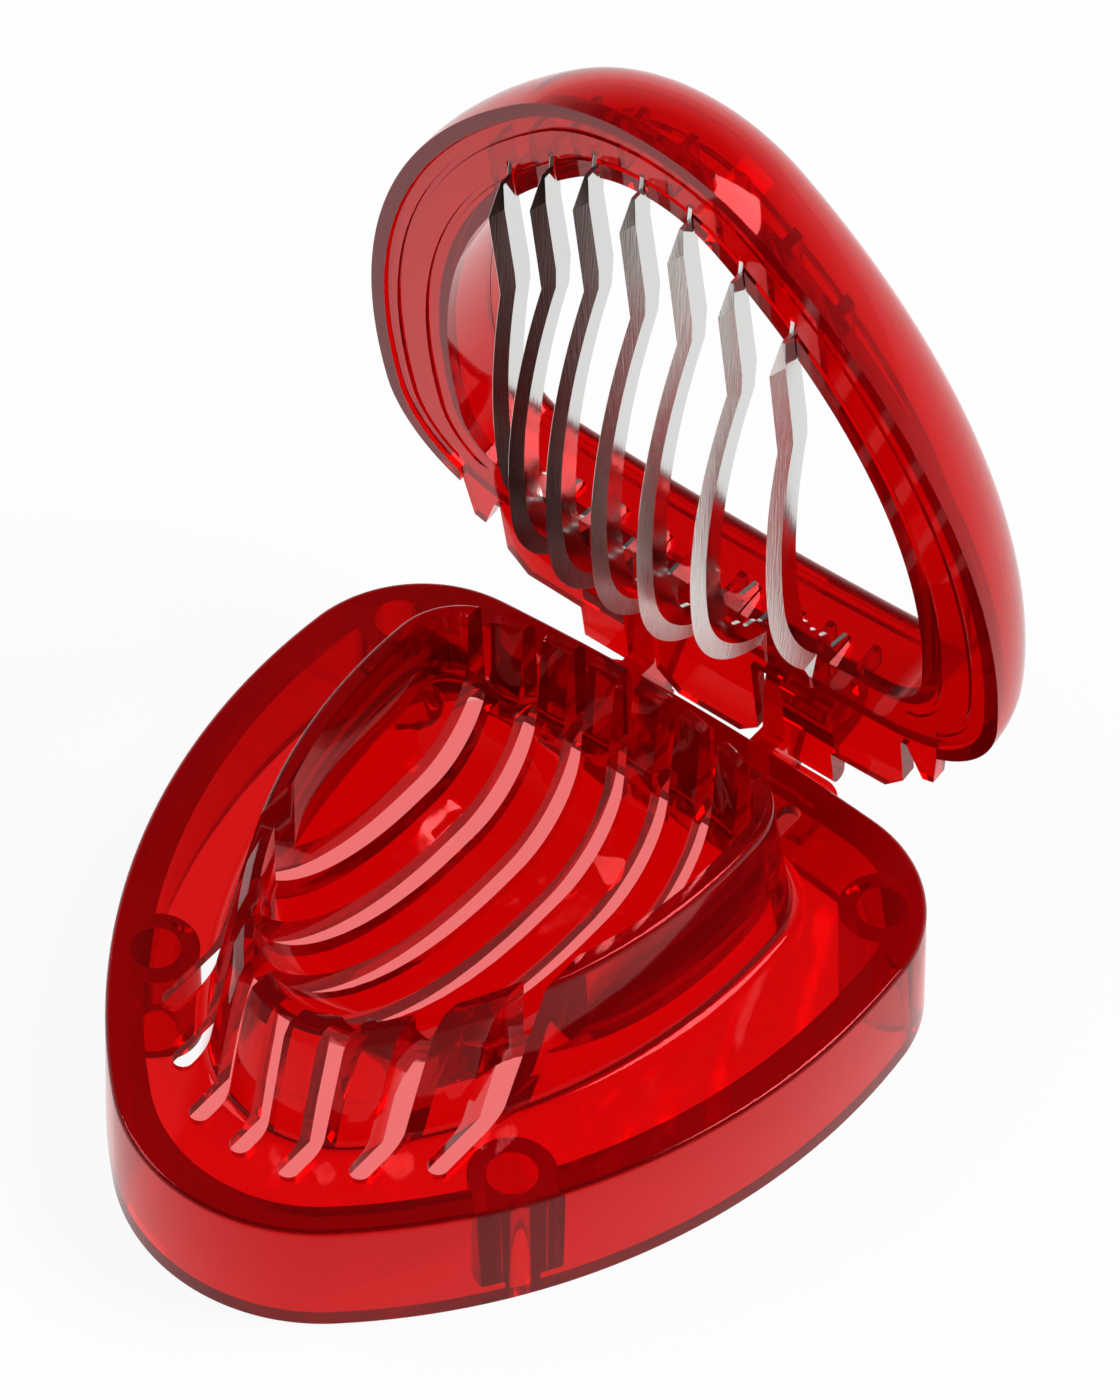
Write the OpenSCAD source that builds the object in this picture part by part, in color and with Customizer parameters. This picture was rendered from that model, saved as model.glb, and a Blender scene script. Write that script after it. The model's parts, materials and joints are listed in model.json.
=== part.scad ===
// Hinged fruit slicer. A drop-shaped base holds a slotted cup for the fruit, and a domed
// ring of a lid carries seven bowed blades that pass through the cup's slots as it closes.
// The lid is drawn closed and then turned open about the hinge, as the slicer rests.

/* [Outline] */
// Half the distance between the centres of the two wide corners
corner_x = 26.4; // [24:0.1:30]
// Distance of the corners' centres behind the middle of the base
corner_y = 28.7; // [26:0.1:32]
// Radius of the two wide corners
corner_r = 17.6; // [15:0.1:20]
// Distance of the tip's centre in front of the middle of the base
tip_y = 22.4; // [20:0.1:26]
// Radius of the tip
tip_r = 24.4; // [22:0.1:28]
// Radius of the bowed sides
side_r = 84; // [76:1:110]
// Radius of the nearly straight back
back_r = 340; // [250:1:500]

/* [Base] */
// Height of the top plate above the table
base_h = 16.4; // [15.5:0.1:22]
// Thickness of the top plate
plate_t = 1.5; // [1.2:0.1:2.4]
// Thickness of the outer wall at the plate
wall_t = 4.6; // [4:0.1:4.8]
// Draft of the outer wall's outside
wall_draft = 1.75; // [0.5:0.25:3]
// Draft of the outer wall's inside
core_draft = 5.5; // [3:0.5:7]
// Radius of the base's upper edge
edge_r = 0.8; // [0.4:0.1:1.2]
// Radius of the bosses for feet
boss_r = 5.2; // [4.5:0.1:5.4]
// Radius of the blind bores in the bosses
bore_r = 3; // [2:0.1:3.4]
// Height of the bosses' lower ends above the table
boss_lift = 1; // [0:0.1:3]
// Half the distance between the two front bosses
front_boss_x = 26.3; // [26:0.1:27]
// Distance of the front bosses in front of the middle
front_boss_y = 20.9; // [19:0.1:21.5]
// Half the distance between the two back bosses
back_boss_x = 36.1; // [34:0.1:36.2]
// Distance of the back bosses behind the middle
back_boss_y = 36.4; // [34:0.1:36.6]

/* [Cup] */
// Height of the cup's rim above the plate
rim_h = 15.7; // [13:0.1:17]
// Half the distance between the centres of the rim's wide corners
rim_corner_x = 17; // [16:0.1:18.5]
// Distance of the rim corners' centres behind the middle
rim_corner_y = 24.2; // [23:0.1:25]
// Radius of the rim's wide corners
rim_corner_r = 9.5; // [8.5:0.1:10.5]
// Distance of the rim tip's centre in front of the middle
rim_tip_y = 18.3; // [17:0.1:19.5]
// Radius of the rim's tip
rim_tip_r = 12.5; // [11:0.1:13.5]
// Radius of the rim's bowed sides
rim_side_r = 72; // [60:1:90]
// Radius of the rim's back
rim_back_r = 58; // [50:1:80]
// Thickness of the cup's walls and floor
cup_t = 2.2; // [1.6:0.1:2.6]
// Draft of the cup's outside
cup_draft = 12; // [10:0.5:14]
// Draft of the cup's nearly upright back
cup_back_draft = 2; // [1:0.5:3]
// Radius where the cup meets the plate
cup_fillet = 2; // [1:0.1:2.6]
// Radius of the rim's outer edge
rim_edge_r = 0.9; // [0.4:0.1:1]
// Height of the chamfer on the tops of the fingers
finger_chamfer = 1.6; // [0.8:0.1:2.4]
// Height of the belly's axis above the plate
belly_lift = 18.4; // [17.6:0.1:19.5]
// Radius of the belly at its widest
belly_r = 29.1; // [27:0.1:29.8]
// Distance of the belly's widest place behind the middle
belly_y = 17; // [15:0.1:19]
// Radius of the belly's long sweep to the tip
belly_sweep = 50; // [46:0.5:54]
// Radius between the belly and the back wall
belly_back_r = 11.8; // [10:0.1:13]
// Length of the belly's level stretch
belly_flat = 3.5; // [2:0.1:4]
// How far the back wall leans out over its height
back_lean = 1.6; // [1:0.1:2.4]

/* [Slots and blades] */
// Distance between neighbouring blades
pitch = 6.5; // [6:0.1:6.6]
// Width of a slot
slot_w = 2.6; // [2:0.1:3]
// How far in front of the middle the centre slot ends
slot_front_0 = 38.6; // [38:0.1:39]
// How far in front of the middle the slots beside it end
slot_front_1 = 37.9; // [37:0.1:38.5]
// How far in front of the middle the third pair of slots ends
slot_front_2 = 33.1; // [32:0.1:34]
// How far in front of the middle the outermost slots end
slot_front_3 = 27.1; // [26:0.1:28]
// How far behind the middle all slots end
slot_back = 41.9; // [41:0.1:42]
// Thickness of a blade
blade_t = 0.5; // [0.3:0.05:0.8]
// Width of a blade
blade_w = 5; // [4.4:0.1:5.4]
// Depth of the middle blades below the closed plate
blade_depth_1 = 15.3; // [14:0.1:15.6]
// Depth of the second outermost blades below the closed plate
blade_depth_2 = 13.9; // [12:0.1:15]
// Depth of the outermost blades below the closed plate
blade_depth_3 = 8.2; // [7:0.1:9]
// Depth of the blades' straight front stretch below the closed plate
blade_front_depth = 3.6; // [3:0.1:4.2]
// How far in front of the middle the middle blades begin to bow down
blade_kink_1 = 18.8; // [15:0.1:22]
// How far in front of the middle the second outermost blades begin to bow down
blade_kink_2 = 14.3; // [11:0.1:17]
// How far in front of the middle the outermost blades begin to bow down
blade_kink_3 = 8.6; // [6:0.1:11]
// Radius of the middle blades' rise to the hinge
blade_rise_1 = 19; // [17:0.5:22]
// Radius of the outermost blades' rise to the hinge
blade_rise_3 = 30; // [26:0.5:36]
// Distance of the blades' deepest place behind the middle
blade_belly_y = 18.5; // [16:0.1:20]
// How far behind the middle the blades' hinge ends reach
blade_foot_y = 40.4; // [40:0.1:41]
// Height of the blades' heads above the closed plate
blade_head = 1.6; // [1.2:0.1:2]
// Height that the blades' hinge ends rise above their heads
blade_foot_rise = 3; // [2:0.1:3.4]
// Distance from the blades' tips to where their backs run straight
blade_neck = 4.6; // [4:0.1:5.2]
// How far the blades' front heads reach past their tips
blade_reach = 2; // [1:0.1:3]

/* [Lid] */
// Gap between the closed lid and the plate
lid_gap = 0.3; // [0.2:0.05:0.6]
// How far the lid stands over the base's edge
lid_over = 0.6; // [0:0.1:1]
// Width of the lid's ring
ring_w = 10.9; // [10:0.1:11.4]
// How much narrower the ring is at the hinge
ring_back_less = 1.6; // [1.2:0.1:2]
// Radius of the lid's domed outside
dome_r = 14.2; // [12.5:0.1:15]
// Radius of the dome's crest beside the opening
crest_r = 2.6; // [2.3:0.1:3.2]
// Thickness of the lid's cover
cover_t = 1.9; // [1.4:0.1:2.1]
// Height of the seam between the cover and the frame's inner wall, above the lid's underside
seam_h = 8.6; // [7.5:0.1:9.5]
// Thickness of the frame's plate
frame_t = 2.2; // [1.8:0.1:2.6]
// Thickness of the frame's inner wall
frame_wall_t = 1.8; // [1.4:0.1:2.1]
// How far the frame lies back from the cover's lower edge
frame_step = 0.4; // [0.2:0.1:0.6]
// Fitting gap between the cover and the frame
seam_gap = 0.12; // [0.08:0.01:0.2]
// Thickness of the frame's inner ribs
rib_t = 1; // [0.8:0.1:1.4]
// Height of the frame's inner ribs
rib_h = 3.4; // [2:0.1:4]
// Gap between the ribs' ends and the cover
rib_gap = 2.2; // [1.8:0.1:3]

/* [Hinge] */
// Distance of the hinge axis behind the middle of the base
hinge_y = 54.7; // [54:0.1:56]
// Height of the hinge axis above the plate
hinge_lift = 6.4; // [6:0.1:7]
// Angle by which the lid stands open
open_angle = 80.9; // [0:0.1:92]
// Radius of the hinge lugs
lug_r = 4.2; // [3.6:0.1:4.4]
// Distance from the centre plane to a lug's inner face
lug_x = 8.1; // [7.5:0.1:9]
// Thickness of a lug
lug_t = 3.3; // [2.8:0.1:3.6]
// Radius of the hinge pegs
peg_r = 1.6; // [1.2:0.1:2]
// Length of a hinge peg
peg_l = 5.4; // [4:0.1:5.6]
// Radial clearance of the pegs in their bores
peg_play = 0.08; // [0.04:0.01:0.1]
// Side gap between the lugs and the lid
lug_gap = 0.5; // [0.3:0.05:0.8]
// Width of a hinge ear on the lid
ear_w = 6.8; // [6:0.1:7.4]
// Radius of a hinge ear
ear_r = 3.9; // [3.4:0.1:4.4]
// How far the ears reach behind the hinge axis
ear_reach = 11.8; // [9:0.1:12]
// How far the plate between the lugs reaches behind the hinge axis
tongue_reach = 10.4; // [8:0.1:11]
// Thickness of the flange that carries the ears
flange_t = 2.2; // [1.8:0.1:2.6]
// Thickness of the shelf that braces a lug
shelf_t = 1.8; // [1.4:0.1:2.4]
// Height of the shelf above the table
shelf_lift = 4.4; // [3:0.1:6]

/* [Hidden] */
blade_count = 7;
middle = (blade_count + 1) / 2;
overlap = 0.2;
edge_steps = 3;
fillet_steps = 3;
crest_steps = 7;
dome_steps = 8;
// How far the floor's rings of points lie on the way from the cup's wall to its middle.
floor_rings = [0, 0.03, 0.06, 0.1, 0.15, 0.22, 0.31, 0.42, 0.56, 0.76];
rim_z = base_h + rim_h;
belly_z = base_h + belly_lift;
hinge_z = base_h + hinge_lift;
lid_z = base_h + lid_gap;
frame_z = lid_z + frame_step;
dome_z = lid_z + 0.8;
seam_z = lid_z + seam_h;
cup_foot_z = base_h - plate_t - overlap;
ear_x = lug_x + lug_t + lug_gap;
body_red = [0.75, 0.02, 0.04, 0.75];
lid_red = [0.7, 0.02, 0.05, 0.75];
steel = [0.82, 0.82, 0.8];

// An outline is [corner x, corner y, corner radius, tip y, tip radius, side radius, back radius].
base_line = [corner_x, corner_y, corner_r, tip_y, tip_r, side_r, back_r];
rim_line = [rim_corner_x, rim_corner_y, rim_corner_r, rim_tip_y, rim_tip_r, rim_side_r,
    rim_back_r];

function corner_of(o) = [o[0], o[1]];
function tip_of(o) = [0, -o[3]];

// Centre of the right side's arc, which touches the tip's and the corner's circles inside.
function side_centre(o) =
    let (ra = o[5] - o[4], rb = o[5] - o[2], v = corner_of(o) - tip_of(o), d = norm(v),
        along = (ra * ra - rb * rb + d * d) / (2 * d), off = sqrt(ra * ra - along * along))
    tip_of(o) + v * along / d + [-v[1], v[0]] * off / d;
function back_centre(o) = [0, o[1] - sqrt(pow(o[6] - o[2], 2) - o[0] * o[0])];
function angle_to(from, to) = atan2(to[1] - from[1], to[0] - from[0]);

// The six arcs of an outline, each as [centre x, centre y, radius, first angle, last angle].
function arcs(o) =
    let (s = side_centre(o), b = back_centre(o), tip_end = angle_to(s, tip_of(o)),
        side_end = angle_to(s, corner_of(o)), back_end = angle_to(b, corner_of(o)))
    [[0, -o[3], o[4], 180 - tip_end, 360 + tip_end],
        [s[0], s[1], o[5], tip_end, side_end],
        [o[0], o[1], o[2], side_end, back_end],
        [0, b[1], o[6], back_end, 180 - back_end],
        [-o[0], o[1], o[2], 180 - back_end, 180 - side_end],
        [-s[0], s[1], o[5], 180 - side_end, 180 - tip_end]];

// Share of a change at the back that holds at an angle round an outline: none in front of the
// corners' middles, all of it at the middle of the back.
function back_share(angle) = pow(max(0, sin(angle)), 2);
function ring_at(angle) = ring_w - ring_back_less * back_share(angle);
function draft_at(angle) = cup_draft - (cup_draft - cup_back_draft) * back_share(angle);

// Stations round an outline, each as [centre x, centre y, radius, angle], closer on tight arcs
// and moved on by a share of a step, so that none has to lie where two arcs meet.
function stations(o, share = 0) =
    [for (a = arcs(o))
        let (n = ceil((a[4] - a[3]) / (a[2] < 60 ? 6 : a[2] < 200 ? 3 : 2)))
            for (i = [0:n - 1]) [a[0], a[1], a[2], a[3] + (a[4] - a[3]) * (i + share) / n]];

// The region inside an outline, grown by the distance grow, and by more at the back.
module region(o, grow, more = 0) {
    polygon([for (s = stations(o, 0.5))
        [s[0], s[1]] + (s[2] + grow + more * back_share(s[3])) * [cos(s[3]), sin(s[3])]]);
}

// Joins closed sections, one list of points for each station of an outline, as one closed skin.
module sweep_skin(o, sections) {
    places = stations(o);
    n = len(places);
    m = len(sections[0]);
    polyhedron([for (i = [0:n - 1], p = sections[i]) let (s = places[i])
            [s[0] + (s[2] + p[0]) * cos(s[3]), s[1] + (s[2] + p[0]) * sin(s[3]), p[1]]],
        [for (i = [0:n - 1], j = [0:m - 1])
            [i * m + j, ((i + 1) % n) * m + j, ((i + 1) % n) * m + (j + 1) % m,
                i * m + (j + 1) % m]]);
}

module slab(o, grow, low, high, more = 0) {
    translate([0, 0, low])
        linear_extrude(high - low)
            region(o, grow, more);
}

// Draws a profile of y and z as a plate with its faces at x from first to last.
module cheek(first, last) {
    translate([first, 0, 0])
        rotate([90, 0, 90])
            linear_extrude(last - first)
                children();
}

module both_sides() {
    children();
    mirror([1, 0, 0])
        children();
}

// Section of the drafted outer wall with its rounded upper edge.
function wall_points() =
    let (top = [for (i = [0:edge_steps]) let (a = 90 * (1 - i / edge_steps))
            [edge_r * (cos(a) - 1), base_h + edge_r * (sin(a) - 1)]])
    concat([[-wall_t, base_h]], top, [[(base_h - edge_r) * tan(wall_draft), 0],
        [base_h * tan(core_draft) - wall_t, 0]]);

module bosses() {
    for (place = [[front_boss_x, -front_boss_y], [back_boss_x, back_boss_y]])
        both_sides()
            translate([place[0], place[1], 0])
                children();
}

// Radius of the round belly at the place y, with the belly grown by the distance grow.
function belly_radius(y, grow) =
    let (flat_end = belly_y + belly_flat, back = belly_back_r + grow,
        wall_r = belly_r - belly_back_r)
    y < belly_y ?
        sqrt(max(0, pow(belly_sweep + grow, 2) - pow(y - belly_y, 2))) - belly_sweep + belly_r :
    y < flat_end ? belly_r + grow :
    y < flat_end + back ? sqrt(back * back - pow(y - flat_end, 2)) + wall_r :
    wall_r * (1 - (y - flat_end - back) / back_lean);

// Height of the belly's surface over a place, but never above the height limit.
function belly_height(place, grow, limit) =
    let (r = max(0, belly_radius(place[1], grow)))
    min(limit, belly_z - sqrt(max(0, r * r - place[0] * place[0])));

// The outer edge of the rim, as [distance outside the rim line, height]: rounded, or chamfered
// on the fingers and posts between the outermost slots.
function rim_edge(chamfered) =
    [for (i = [0:edge_steps]) let (a = 90 * (1 - i / edge_steps), f = i / edge_steps)
        chamfered ? [-cup_t / 2 * (1 - f), rim_z - finger_chamfer * f] :
            [rim_edge_r * (cos(a) - 1), rim_z + rim_edge_r * (sin(a) - 1)]];

// Fillet between the cup's drafted outside and the plate, ending inside the plate.
function foot_arc(draft) =
    let (foot_z = base_h + cup_fillet,
        foot_x = (rim_z - foot_z) * tan(draft) + cup_fillet / cos(draft))
    concat(
        [for (i = [0:fillet_steps]) let (a = 180 + draft + (90 - draft) * i / fillet_steps)
            [foot_x + cup_fillet * cos(a), foot_z + cup_fillet * sin(a)]],
        [[foot_x + overlap, base_h - overlap], [foot_x + overlap, cup_foot_z]]);

// The cup's wall and floor as one closed skin round the rim line. Each station's section runs
// from the floor's top over the rim, down the drafted outside to the plate, up into the hollow
// between the wall's two legs and back under the floor.
module cup() {
    places = stations(rim_line);
    n = len(places);
    middle_place = [0, belly_y];
    rings = len(floor_rings);
    points = [for (s = places)
        let (out = [cos(s[3]), sin(s[3])], line = [s[0], s[1]] + s[2] * out,
            inner = line - cup_t * out, draft = draft_at(s[3]),
            inwards = [for (t = floor_rings) inner + (middle_place - inner) * t],
            fork_z = max(rim_z - cup_t / tan(draft), cup_foot_z + cup_t),
            leg_x = max((rim_z - cup_foot_z) * tan(draft) - cup_t, overlap),
            section = concat(rim_edge(abs(line[0]) < (middle - 1) * pitch), foot_arc(draft),
                [[leg_x, cup_foot_z], [0, fork_z],
                    [0, belly_height(line, cup_t, fork_z - overlap)]]))
            concat(
                [for (i = [rings - 1:-1:0]) let (place = inwards[i])
                    [place[0], place[1], belly_height(place, 0, rim_z - overlap)]],
                [[inner[0], inner[1], rim_z]],
                [for (p = section) [line[0] + p[0] * out[0], line[1] + p[0] * out[1], p[1]]],
                [for (place = inwards) [place[0], place[1],
                    belly_height(place, cup_t, rim_z - 2 * rim_edge_r)]])];
    m = len(points[0]);
    top = n * m;
    polyhedron(
        concat([for (list = points, p = list) p],
            [[0, belly_y, belly_z - belly_r], [0, belly_y, belly_z - belly_r - cup_t]]),
        [for (i = [0:n - 1]) let (a = i * m, b = ((i + 1) % n) * m)
            each concat(
                [for (j = [0:m - 2]) each [[a + j, b + j, b + j + 1], [a + j, b + j + 1, a + j + 1]]],
                [[b, a, top], [a + m - 1, b + m - 1, top + 1]])]);
}

function slot_front(k) = [slot_front_0, slot_front_1, slot_front_2, slot_front_3][abs(k)];

module slots() {
    for (k = [1 - middle:middle - 1])
        translate([k * pitch, 0, boss_lift]) {
            front = slot_front(k) - slot_w / 2;
            back = slot_back - slot_w / 2;
            translate([-slot_w / 2, -front, 0])
                cube([slot_w, front + back, rim_z]);
            for (y = [-front, back])
                translate([0, y, 0])
                    cylinder(h = rim_z, r = slot_w / 2, $fn = 32);
        }
}

module lug() {
    wall_y = slot_back + wall_t - 1;
    cheek(lug_x, lug_x + lug_t) {
        translate([hinge_y, hinge_z])
            circle(lug_r, $fn = 64);
        polygon([[wall_y, shelf_lift], [hinge_y - lug_r / 2, shelf_lift],
            [hinge_y + lug_r, hinge_z - 2 * lug_r], [hinge_y + lug_r, hinge_z],
            [hinge_y - lug_r, hinge_z], [hinge_y - lug_r, base_h - plate_t],
            [wall_y, base_h - plate_t]]);
    }
    translate([0, 0, shelf_lift])
        linear_extrude(shelf_t) {
            translate([lug_x, wall_y])
                square([ear_w, hinge_y - wall_y]);
            translate([lug_x, wall_y])
                square([ear_w + lug_t, hinge_y - lug_t - wall_y]);
            translate([lug_x + ear_w, hinge_y - lug_t])
                circle(lug_t, $fn = 64);
        }
    translate([lug_x + lug_t - overlap, hinge_y, hinge_z])
        rotate([0, 90, 0])
            cylinder(h = peg_l + overlap, r = peg_r, $fn = 48);
}

module base() {
    color(body_red)
        translate([0, -origin_y, 0])
            difference() {
                union() {
                    sweep_skin(base_line, [for (s = stations(base_line)) wall_points()]);
                    difference() {
                        slab(base_line, 1 - wall_t, base_h - plate_t, base_h);
                        slab(rim_line, cup_t, base_h - plate_t - 1, base_h + 1);
                    }
                    cup();
                    bosses()
                        translate([0, 0, boss_lift])
                            cylinder(h = base_h - boss_lift - edge_r, r = boss_r, $fn = 64);
                    both_sides()
                        lug();
                }
                slots();
                bosses()
                    translate([0, 0, -1])
                        cylinder(h = base_h - plate_t + 1, r = bore_r, $fn = 64);
            }
}

// Turns what is drawn for the closed lid open about the hinge.
module opened() {
    translate([0, hinge_y - origin_y, hinge_z])
        rotate([-open_angle, 0, 0])
            translate([0, -hinge_y, -hinge_z])
                children();
}

// Half section of a ring's dome, shrunk by the wall t, as [distance outside the lid's edge,
// height]: from the seam above the opening over the crest and down to the lower edge.
function dome_points(t, ring) =
    let (crest_x = crest_r - ring, crest_turn = acos((dome_r + crest_x) / (dome_r - crest_r)),
        crest_z = dome_z + (dome_r - crest_r) * sin(crest_turn))
    concat([[t - ring, seam_z]],
        [for (i = [0:crest_steps]) let (a = 180 - (180 - crest_turn) * i / crest_steps)
            [crest_x + (crest_r - t) * cos(a), crest_z + (crest_r - t) * sin(a)]],
        [for (i = [1:dome_steps]) let (a = crest_turn * (1 - i / dome_steps))
            [-dome_r + (dome_r - t) * cos(a), dome_z + (dome_r - t) * sin(a)]],
        [[-t, lid_z]]);
function turned_round(list) = [for (i = [len(list) - 1:-1:0]) list[i]];
function cover_section(ring) =
    [for (p = concat(dome_points(0, ring), turned_round(dome_points(cover_t, ring))))
        [p[0] + lid_over, p[1]]];

// The origin lies under the middle of the resting slicer, this far behind the base's middle.
rest_back = max(concat([hinge_y + lug_r],
    [for (s = stations(base_line), p = cover_section(ring_at(s[3])))
        hinge_y + (s[1] + (s[2] + p[0]) * sin(s[3]) - hinge_y) * cos(open_angle)
            + (p[1] - hinge_z) * sin(open_angle)]));
rest_front = tip_y + tip_r + (base_h - edge_r) * tan(wall_draft);
origin_y = (rest_back - rest_front) / 2;

module lid_cover() {
    flange_gap = flange_t + frame_step + 2 * seam_gap;
    color(lid_red)
        opened()
            difference() {
                sweep_skin(base_line, [for (s = stations(base_line)) cover_section(ring_at(s[3]))]);
                translate([-corner_x - corner_r / 2, corner_y + corner_r / 2, lid_z - 1])
                    cube([2 * corner_x + corner_r, corner_r, 1 + flange_gap]);
            }
}

// The flange's half plan: wing, notch, skirt, ear, gap for the lug and tongue.
module flange_plan() {
    root = corner_y + corner_r - ring_w + ring_back_less + 2;
    wing = corner_x + corner_r / 2 - seam_gap;
    polygon([[0, root], [wing, root], [wing, root + 5], [wing - 1, hinge_y - 3.6],
        [wing - 2.6, hinge_y - 3], [wing - 4.6, hinge_y - 8.4], [wing - 5.4, hinge_y - 8.4],
        [wing - 5.6, hinge_y], [wing - 8.4, hinge_y + 3.3], [ear_x, hinge_y + 4],
        [ear_x, hinge_y - 6], [lug_x - lug_gap, hinge_y - 6],
        [lug_x - lug_gap, hinge_y + tongue_reach - 3], [lug_x - lug_gap - 3,
        hinge_y + tongue_reach], [0, hinge_y + tongue_reach]]);
}

module ear() {
    difference() {
        union() {
            cheek(ear_x, ear_x + ear_w) {
                translate([hinge_y, hinge_z])
                    circle(ear_r, $fn = 64);
                polygon([[hinge_y - ear_r, frame_z], [hinge_y + ear_reach - 2.5, frame_z],
                    [hinge_y + ear_reach - 2.5, frame_z + flange_t],
                    [hinge_y + ear_r, frame_z + flange_t + 1], [hinge_y + ear_r, hinge_z],
                    [hinge_y - ear_r, hinge_z]]);
                translate([hinge_y + ear_reach - 2.5, frame_z + flange_t / 2])
                    circle(flange_t / 2, $fn = 48);
            }
        }
        translate([ear_x - 1, hinge_y, hinge_z])
            rotate([0, 90, 0])
                cylinder(h = peg_l + 1, r = peg_r + peg_play, $fn = 48);
    }
}

// The places of the ribs between the frame's walls, one beside each blade.
module rib_lines() {
    length = 2 * (hinge_y + corner_r);
    for (k = [0.5 - middle:middle - 0.5])
        translate([k * pitch - rib_t / 2, -length / 2, 0])
            square([rib_t, length]);
}

// Depth, radii and ends of the blade k places from the middle.
function blade_depth(k) = [blade_depth_1, blade_depth_1, blade_depth_2, blade_depth_3][abs(k)];
function blade_tip(k) = slot_front(k) - 1;
function kink_y(k) = [blade_kink_1, blade_kink_1, blade_kink_2, blade_kink_3][abs(k)];
function blade_sweep(k) =
    let (run = blade_belly_y + kink_y(k), drop = blade_depth(k) - blade_front_depth)
    (run * run + drop * drop) / (2 * drop);
function blade_rise(k) = abs(k) < 3 ? blade_rise_1 : blade_rise_3;

function arc_points(centre, r, first, last, n) =
    [for (i = [0:n]) centre + r * [cos(first + (last - first) * i / n),
        sin(first + (last - first) * i / n)]];

// The blade's flat outline: y, and z from the closed plate's top.
function blade_points(k) =
    let (depth = blade_depth(k), sweep_r = blade_sweep(k), rise_r = blade_rise(k),
        kink = kink_y(k), front = blade_tip(k),
        kink_turn = asin((blade_belly_y + kink) / sweep_r),
        rise_turn = acos(1 - (depth - 3) / rise_r),
        sweep_c = [blade_belly_y, sweep_r - depth], rise_c = [blade_belly_y, rise_r - depth],
        back_y = blade_belly_y + rise_r * sin(rise_turn))
    concat(
        [[-front, 0.4], [-front, -1], [-front + 3.4, -blade_front_depth]],
        arc_points(sweep_c, sweep_r, -90 - kink_turn, -90, 14),
        arc_points(rise_c, rise_r, -90, -90 + rise_turn, 10),
        [[max(back_y + 0.5, blade_foot_y - 3), -2.4], [blade_foot_y - 0.8, -2.4],
            [blade_foot_y, -1.4], [blade_foot_y, blade_head + blade_foot_rise],
            [blade_foot_y - 3.4, blade_head + blade_foot_rise],
            [blade_foot_y - 4.4, blade_head]],
        arc_points(rise_c, rise_r - blade_w, -90 + rise_turn, -90, 8),
        arc_points(sweep_c, sweep_r - blade_w, -90, -90 - kink_turn, 14),
        [[-kink - 1.5, blade_head - 0.2], [-front + blade_neck, blade_head - 0.4],
            [-front + 1.6, blade_head], [-front - blade_reach, blade_head],
            [-front - blade_reach, blade_head - 0.7]]);

module blade_plate(k, t) {
    translate([k * pitch - t / 2, 0, base_h])
        rotate([90, 0, 90])
            linear_extrude(t)
                polygon(blade_points(k));
}

module blade(number) {
    color(steel)
        opened()
            blade_plate(number - middle, blade_t);
}

// Slots in the frame for the blades' ends.
module blade_seats() {
    for (k = [1 - middle:middle - 1])
        translate([k * pitch - blade_t / 2 - seam_gap, 0, base_h]) {
            translate([0, -blade_tip(k) - blade_reach - seam_gap, 0])
                cube([blade_t + 2 * seam_gap, 14, blade_head + 0.4]);
            translate([0, blade_foot_y - 9, 0])
                cube([blade_t + 2 * seam_gap, 9.4, blade_head + blade_foot_rise + 4 * seam_gap]);
        }
}

module blade_frame() {
    inner = lid_over - ring_w;
    outer = lid_over - cover_t - 2 * seam_gap;
    rib_z = frame_z + frame_t;
    color(lid_red)
        opened() {
            difference() {
                union() {
                    difference() {
                        union() {
                            slab(base_line, outer, frame_z, rib_z);
                            translate([0, 0, rib_z - overlap])
                                linear_extrude(rib_h + overlap)
                                    intersection() {
                                        region(base_line, outer - rib_gap);
                                        rib_lines();
                                    }
                            slab(base_line, inner + frame_wall_t, frame_z, seam_z - seam_gap,
                                ring_back_less);
                        }
                        slab(base_line, inner, frame_z - 1, seam_z + 1, ring_back_less);
                    }
                    translate([0, 0, frame_z])
                        linear_extrude(flange_t)
                            both_sides()
                                flange_plan();
                    both_sides()
                        ear();
                }
                blade_seats();
            }
        }
}

base();
blade_frame();
lid_cover();
blade(1);  // blade_1
blade(2);  // blade_2
blade(3);  // blade_3
blade(4);  // blade_4
blade(5);  // blade_5
blade(6);  // blade_6
blade(7);  // blade_7
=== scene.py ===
import json
import math

import bmesh
import bpy
from bpy.props import FloatProperty, FloatVectorProperty, PointerProperty, StringProperty
from mathutils import Matrix, Vector

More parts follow.
